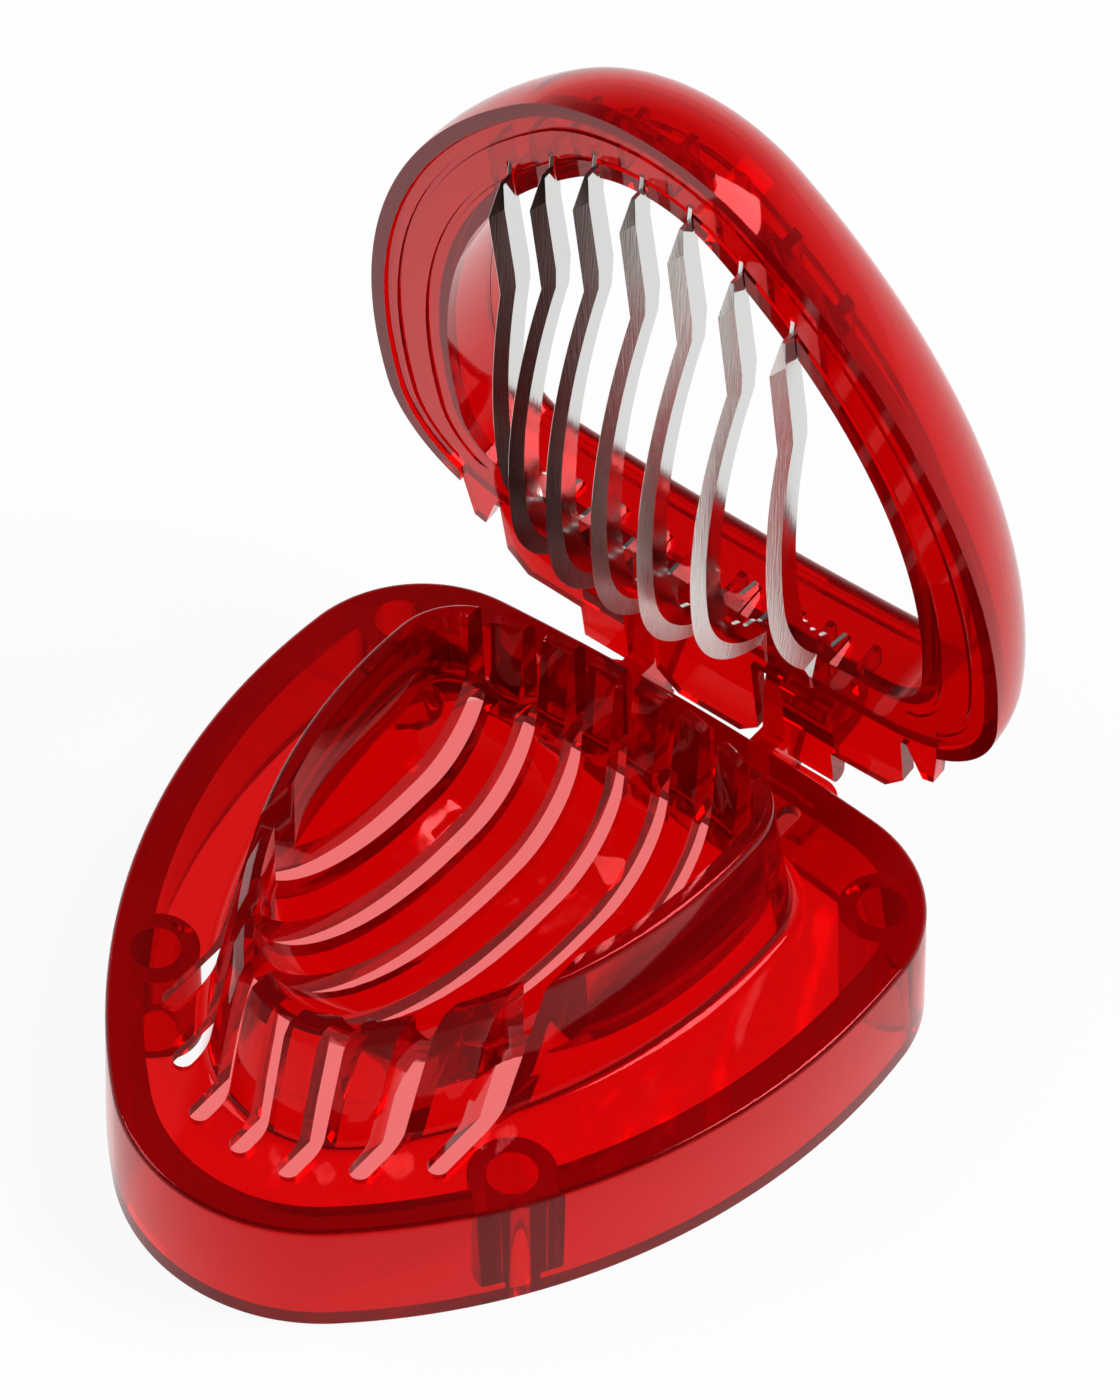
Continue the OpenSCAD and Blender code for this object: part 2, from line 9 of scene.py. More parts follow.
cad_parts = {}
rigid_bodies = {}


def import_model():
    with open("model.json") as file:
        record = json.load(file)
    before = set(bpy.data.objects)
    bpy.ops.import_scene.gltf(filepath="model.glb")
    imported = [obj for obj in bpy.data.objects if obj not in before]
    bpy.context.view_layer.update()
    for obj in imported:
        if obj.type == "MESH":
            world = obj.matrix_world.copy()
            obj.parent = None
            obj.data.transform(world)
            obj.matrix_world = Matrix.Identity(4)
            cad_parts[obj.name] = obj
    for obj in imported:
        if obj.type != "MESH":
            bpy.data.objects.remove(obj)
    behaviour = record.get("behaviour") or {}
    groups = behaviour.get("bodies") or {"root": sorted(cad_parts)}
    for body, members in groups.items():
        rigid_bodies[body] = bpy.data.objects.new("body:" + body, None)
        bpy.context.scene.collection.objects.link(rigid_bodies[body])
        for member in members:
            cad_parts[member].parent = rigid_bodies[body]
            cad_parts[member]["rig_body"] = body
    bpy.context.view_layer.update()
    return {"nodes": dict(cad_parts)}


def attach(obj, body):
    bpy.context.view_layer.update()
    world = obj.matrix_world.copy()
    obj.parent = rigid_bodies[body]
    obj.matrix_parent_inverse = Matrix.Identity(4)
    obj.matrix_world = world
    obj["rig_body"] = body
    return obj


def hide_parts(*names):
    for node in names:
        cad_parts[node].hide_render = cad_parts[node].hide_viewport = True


bl_info = {
    "name": "Fruit Slicer",
    "version": (1, 0, 0),
    "blender": (4, 5, 0),
    "location": "View3D > Sidebar > Fruit Slicer",
    "description": "Builds the looks of a hinged fruit slicer around its packed CAD frame",
    "category": "Object",
}

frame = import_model()

MM = 0.001
BLADES = ["blade_%d" % number for number in range(1, 8)]
# Sizes are in millimetres, and places are seen with the lid closed, from the middle of the base.
MIDDLE_Y = 5.8117
# A drop-shaped line: its corners' x, y and radius, how far in front its tip's centre lies and the
# tip's radius, and the radii of its sides and its back.
BASE_LINE = (26.4, 28.7, 17.6, 22.4, 24.4, 84.0, 340.0)
RIM_LINE = (17.0, 24.2, 9.5, 18.3, 12.5, 72.0, 58.0)
# Steps along each of such a line's six arcs, from the tip round to the right.
ARC_STEPS = (44, 36, 34, 22, 34, 36)
# The base: its plate, outer wall, edge rounding and draft angles.
PLATE_Z, PLATE_T, WALL_T, EDGE_R = 16.4, 1.5, 4.6, 0.8
WALL_DRAFT, CORE_DRAFT, CUP_DRAFT = math.radians(1.75), math.radians(5.5), math.radians(12)
BOSSES = ((26.3, -20.9), (36.1, 36.4))
BOSS_LOW, BOSS_TOP = 1.0, 15.6
# The cup: its rim, wall and foot, and its round belly, which is swept up at the front.
RIM_Z, RIM_EDGE_R, CUP_T, CUP_FILLET, CHAMFER = 32.1, 0.9, 2.2, 2.0, 1.6
BELLY_Z, BELLY_R, BELLY_Y, BELLY_SWEEP = 34.8, 29.1, 17.0, 50.0
BELLY_BACK_R, BELLY_FLAT, BACK_LEAN = 11.8, 3.5, 1.6
# How much steeper the cup's wall and how much narrower the lid's ring is at the back.
CUP_BACK_LESS, RING_BACK_LESS = math.radians(10), 1.6
# The slots, with one front end for the middle slot and for each pair beside it.
PITCH, SLOT_W, SLOT_BACK = 6.5, 2.6, 41.9
SLOT_FRONT = (38.6, 37.9, 33.1, 27.1)
HINGE_Y, HINGE_Z, OPEN = 54.7, 22.8, math.radians(80.9)
# The lid: its domed cover, the seam to its frame, and the frame's hinge ears.
LID_Z, LID_OVER, RING_W, DOME_R, CREST_R, COVER_T, SEAM_Z = 16.7, 0.6, 10.9, 14.2, 2.6, 1.9, 25.3
FLANGE_GAP, EAR_X, EAR_W = 2.84, 11.9, 6.8
# The blades, with one value for the middle blade and for each pair beside it.
BLADE_W, BLADE_BELLY_Y, BLADE_FOOT_Y = 5.0, 18.5, 40.4
BLADE_DEPTH, BLADE_KINK = (15.3, 15.3, 13.9, 8.2), (18.8, 18.8, 14.3, 8.6)
BLADE_RISE, BLADE_FRONT, BLADE_HEAD = (19.0, 19.0, 19.0, 30.0), 3.6, 1.6
# A blade's edges are creased from this angle in degrees, because its bevel is a shallow one.
BLADE_CREASE = 6
GLOSS_ROUGHNESS = 0.03
# Where across the blades the painted dark reflection on their bevels starts to fade out and where
# it ends.
DARK_REFLECTION_START, DARK_REFLECTION_END = -9.0, 7.0
# Each lamp's name, place and side in metres, and power in watts.
SOFTBOXES = (("key_softbox", (0.6, 0.5, 1.0), 0.5, 12.0),
             ("fill_softbox", (-0.9, -0.5, 0.9), 0.6, 6.0))
LAMP_TARGET = (0, 0, 0.05)
WORKTOP_HALF = 4.0
SENSOR, CAMERA_SHIFT, CAMERA_CLIP = 36, (0.0233, -0.0048), (0.01, 20)


def side_centre(line):
    """Centre of the right side's arc, which touches the tip's and the corner's circles."""
    tip, corner = Vector((0, -line[3])), Vector((line[0], line[1]))
    near, far, apart = line[5] - line[4], line[5] - line[2], (corner - tip).length
    along = (near ** 2 - far ** 2 + apart ** 2) / (2 * apart)
    off = math.sqrt(near ** 2 - along ** 2)
    step = (corner - tip) / apart
    return tip + step * along + Vector((-step.y, step.x)) * off


def arcs(line):
    """The six arcs of a drop-shaped line: centre x and y, radius, first and last angle."""
    side = side_centre(line)
    back = line[1] - math.sqrt((line[6] - line[2]) ** 2 - line[0] ** 2)
    tip_end = math.atan2(-line[3] - side.y, -side.x)
    side_end = math.atan2(line[1] - side.y, line[0] - side.x)
    back_end = math.atan2(line[1] - back, line[0])
    half = math.pi
    return ((0, -line[3], line[4], half - tip_end - 2 * half, tip_end),
            (side.x, side.y, line[5], tip_end, side_end),
            (line[0], line[1], line[2], side_end, back_end),
            (0, back, line[6], back_end, half - back_end),
            (-line[0], line[1], line[2], half - back_end, half - side_end),
            (-side.x, side.y, line[5], half - side_end, half - tip_end))


def stations(line):
    """Places round a line, each as a point and the direction out of it."""
    places = []
    for (x, y, r, first, last), steps in zip(arcs(line), ARC_STEPS):
        for i in range(steps):
            a = first + (last - first) * i / steps
            out = Vector((math.cos(a), math.sin(a)))
            places.append((Vector((x, y)) + out * r, out))
    return places


def linear(code):
    """An sRGB hex colour as linear red, green, blue and alpha."""
    parts = [int(code[i:i + 2], 16) / 255 for i in (1, 3, 5)]
    return [c / 12.92 if c <= 0.04045 else ((c + 0.055) / 1.055) ** 2.4 for c in parts] + [1.0]


def add(tree, kind, sockets=None, **settings):
    """Adds a node with its settings. Each socket is set to a value, or fed by an output."""
    node = tree.nodes.new(kind)
    for name, value in settings.items():
        setattr(node, name, value)
    for name, value in (sockets or {}).items():
        if isinstance(value, bpy.types.NodeSocket):
            tree.links.new(value, node.inputs[name])
        else:
            node.inputs[name].default_value = value
    return node


def new_material(name):
    material = bpy.data.materials.new(name)
    material.use_nodes = True
    material.node_tree.nodes.clear()
    return material, material.node_tree


def moulded_plastic(name, density, tint, roughness):
    """Clear red polystyrene, injection moulded: glossy, with slight sink and flow waviness."""
    material, tree = new_material(name)
    place = add(tree, "ShaderNodeTexCoord").outputs["Object"]
    # The mould's polish leaves waves some 9 mm long, and handling leaves fine dull patches.
    wave_l, patch_l = 9.09 * MM, 2.5 * MM
    waves = add(tree, "ShaderNodeTexNoise", {"Vector": place, "Scale": 1 / wave_l, "Detail": 2.0})
    bump = add(tree, "ShaderNodeBump", {
        "Height": waves.outputs["Fac"], "Strength": 0.05, "Distance": 0.4 * MM})
    wear = add(tree, "ShaderNodeTexNoise", {"Vector": place, "Scale": 1 / patch_l, "Detail": 5.0})
    rough = add(tree, "ShaderNodeMapRange", {
        "Value": wear.outputs["Fac"], "From Min": 0.4, "From Max": 0.75,
        "To Min": roughness, "To Max": roughness + 0.05})
    # Dye in the plastic's skin reddens even thin webs and the gloss that is seen through them.
    shader = add(tree, "ShaderNodeBsdfPrincipled", {
        "Normal": bump.outputs["Normal"], "Roughness": rough.outputs["Result"], "IOR": 1.57,
        "Base Color": linear("#FFA0A0"), "Specular Tint": linear("#FF6C6C"),
        "Specular IOR Level": 0.32, "Transmission Weight": 1.0})
    inside = add(tree, "ShaderNodeVolumeAbsorption", {"Color": linear(tint), "Density": density})
    # A trace of haze in the dyed plastic keeps its deepest parts maroon where glass goes black.
    haze = add(tree, "ShaderNodeBsdfDiffuse", {"Color": linear("#F00A1A")})
    hazy = add(tree, "ShaderNodeMixShader", {
        "Fac": 0.12, 1: shader.outputs["BSDF"], 2: haze.outputs["BSDF"]})
    add(tree, "ShaderNodeOutputMaterial", {
        "Surface": hazy.outputs["Shader"], "Volume": inside.outputs["Volume"]})
    return material


def stainless_steel(name, roughness, colour, spacing, turn, depth, painted_reflection=None):
    """Stainless strip steel: rolled flats, or a ground bevel, with a painted dark reflection that
    fades out from the left to the right of the set of blades."""
    material, tree = new_material(name)
    place = add(tree, "ShaderNodeTexCoord").outputs["Object"]
    # Rolling leaves long faint streaks that blur what the flats mirror, and the grinding wheel
    # leaves slanting marks that give the bevel a duller, broken shine. Real ones are finer, and
    # these are drawn as coarse as they need to show.
    turned = add(tree, "ShaderNodeMapping", {
        "Vector": place, "Rotation": [turn, 0, 0],
        "Scale": [0.05 / spacing, 1 / spacing, 0.04 / spacing]})
    marks = add(tree, "ShaderNodeTexNoise", {
        "Vector": turned.outputs["Vector"], "Scale": 1.0, "Detail": 3.0})
    bump = add(tree, "ShaderNodeBump", {
        "Height": marks.outputs["Fac"], "Strength": depth, "Distance": 0.05 * MM})
    rough = add(tree, "ShaderNodeMapRange", {
        "Value": marks.outputs["Fac"], "To Min": roughness * 0.7, "To Max": roughness * 1.3})
    shader = add(tree, "ShaderNodeBsdfPrincipled", {
        "Normal": bump.outputs["Normal"], "Roughness": rough.outputs["Result"],
        "Base Color": linear(colour), "Metallic": 1.0})
    # Painted reflection: the bevel's colour is painted dark at the left of the set and blends into
    # the steel's own colour towards the right.
    if painted_reflection:
        axis = add(tree, "ShaderNodeSeparateXYZ", {"Vector": place}).outputs
        across = add(tree, "ShaderNodeMapRange", {
            "Value": axis["X"], "From Min": DARK_REFLECTION_START * MM, "From Max": DARK_REFLECTION_END * MM})
        tone = add(tree, "ShaderNodeMix", {
            "Factor": across.outputs["Result"], 6: linear(painted_reflection), 7: linear(colour)},
            data_type="RGBA")
        tree.links.new(tone.outputs[2], shader.inputs["Base Color"])
    add(tree, "ShaderNodeOutputMaterial", {"Surface": shader.outputs["BSDF"]})
    return material


def white_worktop(name):
    """Melamine laminate, pressed matt white. It stays white to the eye and keeps the slicer's
    faint shadow."""
    material, tree = new_material(name)
    place = add(tree, "ShaderNodeTexCoord").outputs["Object"]
    # The pressed paper leaves a grain about a millimetre wide, which only just shows.
    grain_w = 1.11 * MM
    grain = add(tree, "ShaderNodeTexNoise", {"Vector": place, "Scale": 1 / grain_w, "Detail": 2.0})
    tone = add(tree, "ShaderNodeMix", {
        "Factor": grain.outputs["Fac"], 6: linear("#EFEFEF"), 7: linear("#F6F6F6")},
        data_type="RGBA")
    # Clear red plastic throws red light on the worktop under the base. The patch widens from
    # the base's tip, narrows again at its back and has a soft edge.
    tip_y, wide_y, narrow_y, back_y, length = -48 * MM, 12 * MM, 30 * MM, 50 * MM, 50 * MM
    tip_half, wide_half, back_half = 10 * MM, 40 * MM, 18 * MM
    axis = add(tree, "ShaderNodeSeparateXYZ", {"Vector": place}).outputs
    front = add(tree, "ShaderNodeMapRange", {
        "Value": axis["Y"], "From Min": tip_y, "From Max": wide_y, "To Min": tip_half,
        "To Max": wide_half})
    back = add(tree, "ShaderNodeMapRange", {
        "Value": axis["Y"], "From Min": narrow_y, "From Max": back_y, "To Min": wide_half,
        "To Max": back_half})
    half = add(tree, "ShaderNodeMath", {0: front.outputs["Result"], 1: back.outputs["Result"]},
               operation="MINIMUM").outputs["Value"]
    aside = add(tree, "ShaderNodeMath", {0: axis["X"]}, operation="ABSOLUTE").outputs["Value"]
    along = add(tree, "ShaderNodeMath", {0: axis["Y"]}, operation="ABSOLUTE").outputs["Value"]
    across_share = add(tree, "ShaderNodeMath", {0: aside, 1: half}, operation="DIVIDE")
    along_share = add(tree, "ShaderNodeMath", {0: along, 1: 1 / length}, operation="MULTIPLY")
    share = add(tree, "ShaderNodeMath", {
        0: across_share.outputs["Value"], 1: along_share.outputs["Value"]}, operation="MAXIMUM")
    under = add(tree, "ShaderNodeMapRange", {
        "Value": share.outputs["Value"], "From Min": 1.0, "From Max": 0.9}).outputs["Result"]
    lit_tone = add(tree, "ShaderNodeMix", {
        "Factor": under, 6: tone.outputs[2], 7: linear("#EE7A7A")}, data_type="RGBA")
    white_tone = add(tree, "ShaderNodeMix", {
        "Factor": under, 6: linear("#FFFFFF"), 7: linear("#F57878")}, data_type="RGBA")
    lit = add(tree, "ShaderNodeBsdfDiffuse", {"Color": lit_tone.outputs[2]})
    white = add(tree, "ShaderNodeEmission", {"Color": white_tone.outputs[2], "Strength": 1.0})
    path = add(tree, "ShaderNodeLightPath").outputs
    mirrored = add(tree, "ShaderNodeMath", {
        0: path["Is Glossy Ray"], 1: path["Is Transmission Ray"]},
        operation="MAXIMUM").outputs["Value"]
    seen = add(tree, "ShaderNodeMath", {0: path["Is Camera Ray"], 1: mirrored},
               operation="MAXIMUM").outputs["Value"]
    shown = add(tree, "ShaderNodeMath", {0: seen, 1: 0.92}, operation="MULTIPLY")
    mixed = add(tree, "ShaderNodeMixShader", {
        0: shown.outputs["Value"], 1: lit.outputs["BSDF"], 2: white.outputs["Emission"]})
    add(tree, "ShaderNodeOutputMaterial", {"Surface": mixed.outputs["Shader"]})
    return material


def spot(place, z):
    """A plan point and a height in millimetres as a place in the model's own frame."""
    return Vector((place.x * MM, (place.y - MIDDLE_Y) * MM, z * MM))


def at_level(z, side=1):
    """Places a prism's plan outline at a height, on the slicer's right or left side."""
    return lambda x, y, h: spot(Vector((side * x, y)), z + h)


def sideways(x, side=1):
    """Stands a prism's outline of y and z upright, pushed out sideways from x."""
    return lambda y, z, h: spot(Vector((side * (x + h), y)), z)


def ring_width(out):
    """Width of the lid's ring where the line's outward direction is this."""
    return RING_W - RING_BACK_LESS * max(0, out.y) ** 2


def opened(mesh):
    """Turns a mesh that was made for the closed lid open about the hinge."""
    hinge = Vector((0, (HINGE_Y - MIDDLE_Y) * MM, HINGE_Z * MM))
    mesh.transform(Matrix.Translation(hinge) @ Matrix.Rotation(-OPEN, 4, "X")
                   @ Matrix.Translation(-hinge))


def face_outwards(mesh):
    """Turns a closed mesh's faces to look out of it."""
    shape = bmesh.new()
    shape.from_mesh(mesh)
    bmesh.ops.recalc_face_normals(shape, faces=shape.faces)
    shape.to_mesh(mesh)
    shape.free()


def skin(name, rows, closed, centres=()):
    """A skin over rows of points, one row for each place round a line. The rows close into a
    ring, each row may be a loop, and two centre points may close the rows' ends."""
    count, length = len(rows), len(rows[0])
    points = [point for row in rows for point in row] + list(centres)
    faces = []
    for i in range(count):
        a, b = i * length, ((i + 1) % count) * length
        for j in range(length if closed else length - 1):
            k = (j + 1) % length
            faces.append((a + j, b + j, b + k, a + k))
        if centres:
            faces.append((b, a, count * length))
            faces.append((a + length - 1, b + length - 1, count * length + 1))
    mesh = bpy.data.meshes.new(name)
    mesh.from_pydata(points, [], faces)
    mesh.validate()
    face_outwards(mesh)
    return mesh


def prism(name, outline, height, to_place):
    """A closed prism: an outline of plan points, pushed up by the height, then placed."""
    shape = bmesh.new()
    low = [shape.verts.new(to_place(u, v, 0)) for u, v in outline]
    high = [shape.verts.new(to_place(u, v, height)) for u, v in outline]
    shape.faces.new(low)
    shape.faces.new(high)
    for i in range(len(outline)):
        k = (i + 1) % len(outline)
        shape.faces.new((low[i], low[k], high[k], high[i]))
    bmesh.ops.recalc_face_normals(shape, faces=shape.faces)
    mesh = bpy.data.meshes.new(name)
    shape.to_mesh(mesh)
    shape.free()
    return mesh


def circle_points(x, y, r, first=0.0, last=2 * math.pi, steps=48):
    """Points round a circle, or along an arc with both its ends."""
    whole = math.isclose(abs(last - first), 2 * math.pi)
    return [(x + r * math.cos(first + (last - first) * i / steps),
             y + r * math.sin(first + (last - first) * i / steps))
            for i in range(steps if whole else steps + 1)]


def box_points(x, half, first, last):
    return [(x - half, first), (x + half, first), (x + half, last), (x - half, last)]


def combined(mesh, others, way):
    """The mesh joined with, or cut by, the other closed meshes."""
    scene = bpy.context.scene
    body = bpy.data.objects.new("work", mesh)
    scene.collection.objects.link(body)
    tools = []
    for other in others:
        tool = bpy.data.objects.new("tool", other)
        scene.collection.objects.link(tool)
        tools.append(tool)
        change = body.modifiers.new("cut", "BOOLEAN")
        change.operation = way
        change.solver = "MANIFOLD"
        change.object = tool
    bpy.context.view_layer.update()
    done = bpy.data.meshes.new_from_object(
        body.evaluated_get(bpy.context.evaluated_depsgraph_get()))
    for item in [body] + tools:
        bpy.data.objects.remove(item)
    return done


def placed_piece(name, mesh, materials, node, crease=32):
    """A piece that stands for a CAD node, shaded smooth but for its creases."""
    mesh.name = name
    kinds = [min(face.material_index, len(materials) - 1) for face in mesh.polygons]
    mesh.materials.clear()
    for material in materials:
        mesh.materials.append(material)
    mesh.polygons.foreach_set("material_index", kinds)
    mesh.polygons.foreach_set("use_smooth", [True] * len(mesh.polygons))
    mesh.set_sharp_from_angle(angle=math.radians(crease))
    piece = bpy.data.objects.new(name, mesh)
    bpy.context.scene.collection.objects.link(piece)
    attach(piece, frame["nodes"][node]["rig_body"])
    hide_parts(node)
    return piece


def belly_radius(y, grow):
    """Radius of the cup's round belly at a place along the slicer, grown by a distance."""
    flat_end, back, wall_r = BELLY_Y + BELLY_FLAT, BELLY_BACK_R + grow, BELLY_R - BELLY_BACK_R
    if y < BELLY_Y:
        return (math.sqrt(max(0, (BELLY_SWEEP + grow) ** 2 - (y - BELLY_Y) ** 2))
                - BELLY_SWEEP + BELLY_R)
    if y < flat_end:
        return BELLY_R + grow
    if y < flat_end + back:
        return math.sqrt(back ** 2 - (y - flat_end) ** 2) + wall_r
    return wall_r * (1 - (y - flat_end - back) / BACK_LEAN)


def belly_height(place, grow, limit):
    r = max(0, belly_radius(place.y, grow))
    return min(limit, BELLY_Z - math.sqrt(max(0, r * r - place.x ** 2)))


def base_shell():
    """The base's outer wall, plate and cup as one closed skin."""
    foot_z, under, apart = PLATE_Z + CUP_FILLET, PLATE_Z - PLATE_T, 0.2
    edge_steps, fillet_steps = 6, 8
    # Rings from the rim to the cup's middle, closest together where its wall is steepest.
    shares = [0, 0.015, 0.03, 0.045, 0.06, 0.08, 0.1, 0.125, 0.155, 0.19, 0.23, 0.28, 0.34,
              0.41, 0.49, 0.58, 0.68, 0.79, 0.9]
    heart = Vector((0, BELLY_Y))
    rows = []
    for (line, out), (rim, rim_out) in zip(stations(BASE_LINE), stations(RIM_LINE)):
        inner = rim - rim_out * CUP_T
        draft = CUP_DRAFT - CUP_BACK_LESS * max(0, rim_out.y) ** 2
        foot_x = (RIM_Z - foot_z) * math.tan(draft) + CUP_FILLET / math.cos(draft)
        leg_x = max((RIM_Z - under) * math.tan(draft) - CUP_T, apart)
        fork_z = max(RIM_Z - CUP_T / math.tan(draft), under + CUP_T)
        rings = [inner + (heart - inner) * share for share in shares]
        # The rim is chamfered where the slots cross it, and rounded at its sides.
        if abs(rim.x) < 3 * PITCH:
            edge = [(-CUP_T / 2 * (1 - i / edge_steps), RIM_Z - CHAMFER * i / edge_steps)
                    for i in range(edge_steps + 1)]
        else:
            edge = circle_points(-RIM_EDGE_R, RIM_Z - RIM_EDGE_R, RIM_EDGE_R, math.pi / 2, 0,
                                 edge_steps)
        fillet = circle_points(foot_x, foot_z, CUP_FILLET, math.pi + draft, 1.5 * math.pi,
                               fillet_steps)
        wall = circle_points(-EDGE_R, PLATE_Z - EDGE_R, EDGE_R, math.pi / 2, 0, edge_steps)
        wall += [((PLATE_Z - EDGE_R) * math.tan(WALL_DRAFT), 0),
                 (PLATE_Z * math.tan(CORE_DRAFT) - WALL_T, 0),
                 (PLATE_T * math.tan(CORE_DRAFT) - WALL_T, under)]
        row = [spot(p, belly_height(p, 0, RIM_Z - apart)) for p in reversed(rings)]
        row.append(spot(inner, RIM_Z))
        row.extend(spot(rim + rim_out * x, z) for x, z in edge + fillet)
        row.extend(spot(line + out * x, z) for x, z in wall)
        row.append(spot(rim + rim_out * leg_x, under))
        row.append(spot(rim, fork_z))
        row.append(spot(rim, belly_height(rim, CUP_T, fork_z - apart)))
        row.extend(spot(p, belly_height(p, CUP_T, RIM_Z - 2 * RIM_EDGE_R)) for p in rings)
        rows.append(row)
    return skin("slotted_base", rows, False,
                (spot(heart, BELLY_Z - BELLY_R), spot(heart, BELLY_Z - BELLY_R - CUP_T)))


def slot_cutters():
    """Round-ended cutters for the seven slots, from under the plate to over the cup's rim."""
    low, height = 1, 40
    cutters = []
    for k in range(-3, 4):
        front, back, half = SLOT_FRONT[abs(k)] - SLOT_W / 2, SLOT_BACK - SLOT_W / 2, SLOT_W / 2
        outline = (circle_points(k * PITCH, back, half, 0, math.pi, 16)
                   + circle_points(k * PITCH, -front, half, math.pi, 2 * math.pi, 16))
        cutters.append(prism("slot", outline, height, at_level(low)))
    return cutters


def round_bosses(r, low, high, steps):
    return [prism("boss", circle_points(side * x, y, r, steps=steps), high - low, at_level(low))
            for x, y in BOSSES for side in (1, -1)]


def hinge_lugs():
    """The two lugs with their shelves and pegs behind the base."""
    wall_y, shelf_z, shelf_t, lug_x, lug_t, lug_r = 45.5, 4.4, 1.8, 8.1, 3.3, 4.2
    peg_r, peg_l, peg_sunk = 1.6, 5.6, 0.2
    low, far, under = HINGE_Z - 2 * lug_r, lug_x + EAR_W, PLATE_Z - PLATE_T
    lug = ([(wall_y, shelf_z), (HINGE_Y - lug_r / 2, shelf_z), (HINGE_Y + lug_r, low)]
           + circle_points(HINGE_Y, HINGE_Z, lug_r, 0, math.pi, 28)
           + [(HINGE_Y - lug_r, under), (wall_y, under)])
    shelf = ([(lug_x, wall_y), (far + lug_t, wall_y)]
             + circle_points(far, HINGE_Y - lug_t, lug_t, 0, math.pi / 2, 12)
             + [(lug_x, HINGE_Y)])
    peg = circle_points(HINGE_Y, HINGE_Z, peg_r, steps=36)
    meshes = []
    for side in (1, -1):
        meshes.append(prism("lug", lug, lug_t, sideways(lug_x, side)))
        meshes.append(prism("shelf", shelf, shelf_t, at_level(shelf_z, side)))
        meshes.append(prism("peg", peg, peg_l, sideways(lug_x + lug_t - peg_sunk, side)))
    return meshes


def dome_points(t, ring):
    """Half section of a ring's dome, shrunk by a wall: distance outside its edge and height."""
    lip, steps = 0.8, 14
    crest_x, reach, dome_z = CREST_R - ring, DOME_R - CREST_R, LID_Z + lip
    turn = math.acos((DOME_R + crest_x) / reach)
    crest_z = dome_z + reach * math.sin(turn)
    return ([(t - ring, SEAM_Z)]
            + circle_points(crest_x, crest_z, CREST_R - t, math.pi, turn, steps)
            + circle_points(-DOME_R, dome_z, DOME_R - t, turn, 0, steps)[1:]
            + [(-t, LID_Z)])


def cover_shell():
    """The lid's domed cover, closed: a ring with a gap at the back for the frame's flange."""
    rows = []
    for line, out in stations(BASE_LINE):
        ring = ring_width(out)
        section = dome_points(0, ring) + dome_points(COVER_T, ring)[::-1]
        rows.append([spot(line + out * (x + LID_OVER), z) for x, z in section])
    corner_x, corner_y, corner_r = BASE_LINE[:3]
    half, front, gap_l, below = corner_x + corner_r / 2, corner_y + corner_r / 2, 18, 1
    gap = prism("gap", box_points(0, half, front, front + gap_l), FLANGE_GAP + below,
                at_level(LID_Z - below))
    return combined(skin("domed_cover", rows, True), [gap], "DIFFERENCE")


def frame_section(inner, edge, low, high, top):
    """Section of the blade frame: a plate, and a wall round its opening. Two shallow grooves
    run round its underside, where the mould's inserts met."""
    wall_t, groove_w, groove_t, slope = 1.8, 0.8, 0.35, 0.1
    section = [(inner, low)]
    for x in (inner + 2.4, edge - 2.2):
        section += [(x, low), (x + slope, low + groove_t),
                    (x + groove_w - slope, low + groove_t), (x + groove_w, low)]
    return section + [(edge, low), (edge, high), (inner + wall_t, high), (inner + wall_t, top),
                      (inner, top)]


def lid_post(name, offset):
    """A tall closed post whose outline runs round the base's line, at an offset out of it."""
    middle, height = Vector((0, 10)), 60
    rows = [[spot(line + out * offset(out), z) for z in (0, height)]
            for line, out in stations(BASE_LINE)]
    return skin(name, rows, False, (spot(middle, 0), spot(middle, height)))


def frame_ribs(edge, high):
    """Ribs across the frame's plate, between the blades and beside the last ones."""
    rib_t, rib_h, reach, sunk = 1.0, 3.6, 60, 0.2
    # A rib's inner end is buried in the frame's wall, and its outer end stops short of the edge.
    in_wall, margin = 0.9, 2.2
    inside = lid_post("inside", lambda out: LID_OVER - ring_width(out) + in_wall)
    outside = lid_post("outside", lambda out: edge - margin)
    ribs = []
    for k in range(8):
        bar = prism("rib", box_points((k - 3.5) * PITCH, rib_t / 2, -reach, reach), rib_h,
                    at_level(high - sunk))
        ribs.append(combined(combined(bar, [outside], "INTERSECT"), [inside], "DIFFERENCE"))
    return ribs


def frame_flange(low):
    """The frame's flange at the back, with a notch in each wing, a gap for each lug and a tongue
    between the two."""
    wing, root, gap_x, flange_t = 35.08, 39.0, 7.6, 2.2
    half = [(0, root), (wing, root), (wing, root + 5), (wing - 1, HINGE_Y - 3.6),
            (wing - 2.6, HINGE_Y - 3), (wing - 4.6, HINGE_Y - 8.4), (wing - 5.4, HINGE_Y - 8.4),
            (wing - 5.6, HINGE_Y), (wing - 8.4, HINGE_Y + 3.3), (EAR_X, HINGE_Y + 4),
            (EAR_X, HINGE_Y - 6), (gap_x, HINGE_Y - 6), (gap_x, HINGE_Y + 7.4),
            (gap_x - 3, HINGE_Y + 10.4)]
    plan = half + [(-x, y) for x, y in half[:0:-1]]
    return prism("flange", plan, flange_t, at_level(low))


def hinge_ears(low):
    """The frame's two hinge ears with their tails, and the cutters for their bores."""
    ear_r, tail_l, tail_r, heel = 3.9, 9.3, 1.1, 3.2
    bore_r, bore_l, before = 1.68, 6.4, 1
    outline = ([(HINGE_Y - ear_r, low), (HINGE_Y + tail_l, low)]
               + circle_points(HINGE_Y + tail_l, low + tail_r, tail_r, -math.pi / 2,
                               math.pi / 2, 12)[1:]
               + [(HINGE_Y + ear_r, low + heel)]
               + circle_points(HINGE_Y, HINGE_Z, ear_r, 0, math.pi, 28))
    round_bore = circle_points(HINGE_Y, HINGE_Z, bore_r)
    ears = [prism("ear", outline, EAR_W, sideways(EAR_X, side)) for side in (1, -1)]
    bores = [prism("bore", round_bore, bore_l, sideways(EAR_X - before, side))
             for side in (1, -1)]
    return ears, bores


